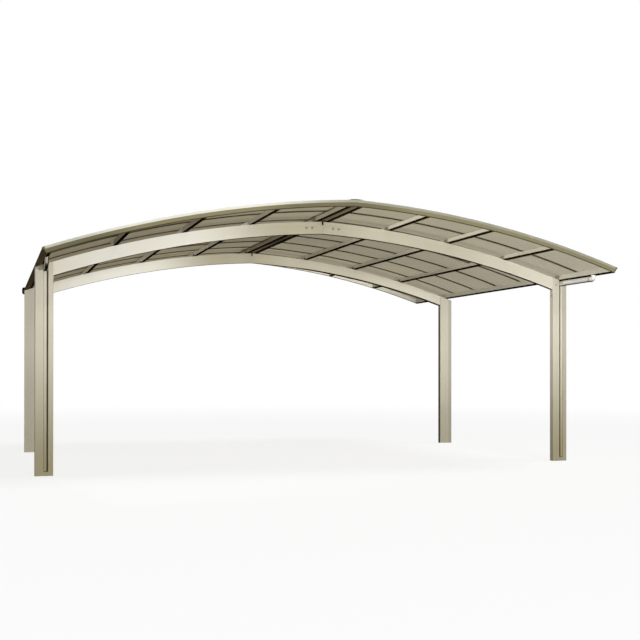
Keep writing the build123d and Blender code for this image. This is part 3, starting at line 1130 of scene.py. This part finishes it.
# Dark plates over the notch at the top of each beam's joint, painted shade that stands for the notch
notchShadePlates = {
    "width": 0.020,
    "depth": 0.040,
    "thickness": 0.0015,
    "drop": 0.001,
    "edge": 0.0005,
    "smoothDegrees": 30,
}
work = bmesh.new()
size = (notchShadePlates["width"], notchShadePlates["thickness"], notchShadePlates["depth"], 1)
middleZ = roof["ridgeHeight"] - notchShadePlates["depth"] / 2 - notchShadePlates["drop"]
for beamY in (-roof["postY"], roof["postY"]):
    for face in (-1, 1):
        y = beamY + face * (roof["beamHalfWidth"] + notchShadePlates["thickness"] / 2)
        easedBlock(work, Matrix.Translation((0, y, middleZ)) @ Matrix.Diagonal(size), notchShadePlates["edge"])
pieceFrom(work, "notchShadePlates", cleatMaterial, notchShadePlates["smoothDegrees"])
print("notch plates made")

# Screws along both edges of the ridge cover
coverScrews = {"x": 0.066, "from": -2.70, "to": 2.70, "count": 17, "lift": 0.0068}
spots = []
for side in (-1, 1):
    for y in evenly(coverScrews["from"], coverScrews["to"], coverScrews["count"]):
        place, away = onRoof(side * coverScrews["x"], y, roof["capTop"])
        place.z += coverScrews["lift"]
        spots.append((place, away))
boltOn("coverScrews", spots, capScrews["sizes"])
print("cover screws made")

# Floor and light
stageLook = {
    "floorSize": 160.0,
    "paperWhite": 0.80,
    "paperShare": 0.36,
    "bounceColour": (0.20, 0.19, 0.17),
    "fade": (7.0, 22.0),
    "domeColour": (1.0, 0.99, 0.97),
    "domeStrength": 0.13,
    "sunPlace": (0.0, 0.0, 8.0),
    "sunWay": (-0.42, 0.16, -0.89),
    "sunStrength": 0.7,
    "sunSpread": 24.0,
}
roofMiddle = (0.0, 0.0, 1.4)
softboxes = {
    "frontSoftbox": {"place": (0.5, -39.0, 0.5), "aim": roofMiddle, "size": (12.0, 0.9), "power": 11200.0},
    "highSoftbox": {"place": (0.0, -30.0, 14.0), "aim": roofMiddle, "size": (12.0, 3.0), "power": 1400.0},
    "baySoftbox": {
        "place": (-3.1, -3.3, 0.2),
        "aim": (1.9, -2.4, 2.5),
        "size": (2.4, 0.4),
        "power": 46.0,
        "spread": 74.0,
    },
    "underSoftbox": {
        "place": (0.3, 0.1, 0.12),
        "aim": (0.3, 2.3, 2.6),
        "size": (5.2, 0.3),
        "power": 23.0,
        "spread": 84.0,
    },
    "endSoftbox": {
        "place": (1.45, 1.3, 0.12),
        "aim": (1.45, 2.83, 2.45),
        "size": (2.5, 0.3),
        "power": 6.5,
        "spread": 45.0,
    },
    "rearSoftbox": {"place": (10.0, 38.0, 0.5), "aim": roofMiddle, "size": (22.0, 0.9), "power": 6000.0},
}
white = (1.0, 1.0, 1.0, 1.0)


def seenRays(tree):
    # Rays from the camera, and those that a gloss or a clear sheet sends on
    path = tree.nodes.new("ShaderNodeLightPath").outputs
    seen = sums(tree, "MAXIMUM", path["Is Camera Ray"], path["Is Glossy Ray"])
    return sums(tree, "MAXIMUM", seen, path["Is Transmission Ray"])


def makeFloor():
    half = stageLook["floorSize"] / 2
    corners = [(-half, -half, 0), (half, -half, 0), (half, half, 0), (-half, half, 0)]
    mesh = bpy.data.meshes.new("floor")
    mesh.from_pydata(corners, [], [(0, 1, 2, 3)])
    floor = bpy.data.objects.new("floor", mesh)
    scene.collection.objects.link(floor)
    material, tree, end = newMaterial("floorPaper")
    away = addNode(tree, "ShaderNodeVectorMath", {"operation": "LENGTH"}, _0=objectPlace(tree))
    paper = addNode(tree, "ShaderNodeBsdfDiffuse", Color=tinted(white, stageLook["paperShare"]))
    glow = addNode(tree, "ShaderNodeEmission", Color=white, Strength=stageLook["paperWhite"])
    shaded = addNode(tree, "ShaderNodeAddShader", _0=paper.outputs[0], _1=glow.outputs[0])
    distant = addNode(tree, "ShaderNodeEmission", Color=white)
    pale = mixShaders(tree, between(tree, away.outputs["Value"], stageLook["fade"]), shaded, distant)
    bounce = addNode(tree, "ShaderNodeBsdfDiffuse", Color=tinted(stageLook["bounceColour"]))
    whole = mixShaders(tree, seenRays(tree), bounce, pale)
    tree.links.new(whole.outputs[0], end.inputs[0])
    mesh.materials.append(material)


def makeWorld():
    world = bpy.data.worlds.new("studio")
    scene.world = world
    world.use_nodes = True
    tree = world.node_tree
    tree.nodes.clear()
    colour = tinted(stageLook["domeColour"])
    dome = addNode(tree, "ShaderNodeBackground", Color=colour, Strength=stageLook["domeStrength"])
    backdrop = addNode(tree, "ShaderNodeBackground", Color=white, Strength=1.0)
    mixed = mixShaders(tree, seenRays(tree), dome, backdrop)
    end = tree.nodes.new("ShaderNodeOutputWorld")
    tree.links.new(mixed.outputs[0], end.inputs[0])


def pointed(place, way):
    return Matrix.Translation(place) @ Vector(way).to_track_quat("-Z", "Y").to_matrix().to_4x4()


def makeSun():
    data = bpy.data.lights.new("sun", "SUN")
    data.energy = stageLook["sunStrength"]
    data.angle = math.radians(stageLook["sunSpread"])
    lamp = bpy.data.objects.new("sun", data)
    scene.collection.objects.link(lamp)
    lamp.matrix_world = pointed(stageLook["sunPlace"], stageLook["sunWay"])


def makeSoftbox(name, look):
    data = bpy.data.lights.new(name, "AREA")
    data.shape = "RECTANGLE"
    data.size, data.size_y = look["size"]
    data.energy = look["power"]
    data.spread = math.radians(look.get("spread", 180.0))
    lamp = bpy.data.objects.new(name, data)
    scene.collection.objects.link(lamp)
    lamp.visible_camera = False
    lamp.visible_glossy = False
    lamp.matrix_world = pointed(look["place"], Vector(look["aim"]) - Vector(look["place"]))


makeFloor()
makeWorld()
makeSun()
for name, look in softboxes.items():
    makeSoftbox(name, look)
print("floor and light made")
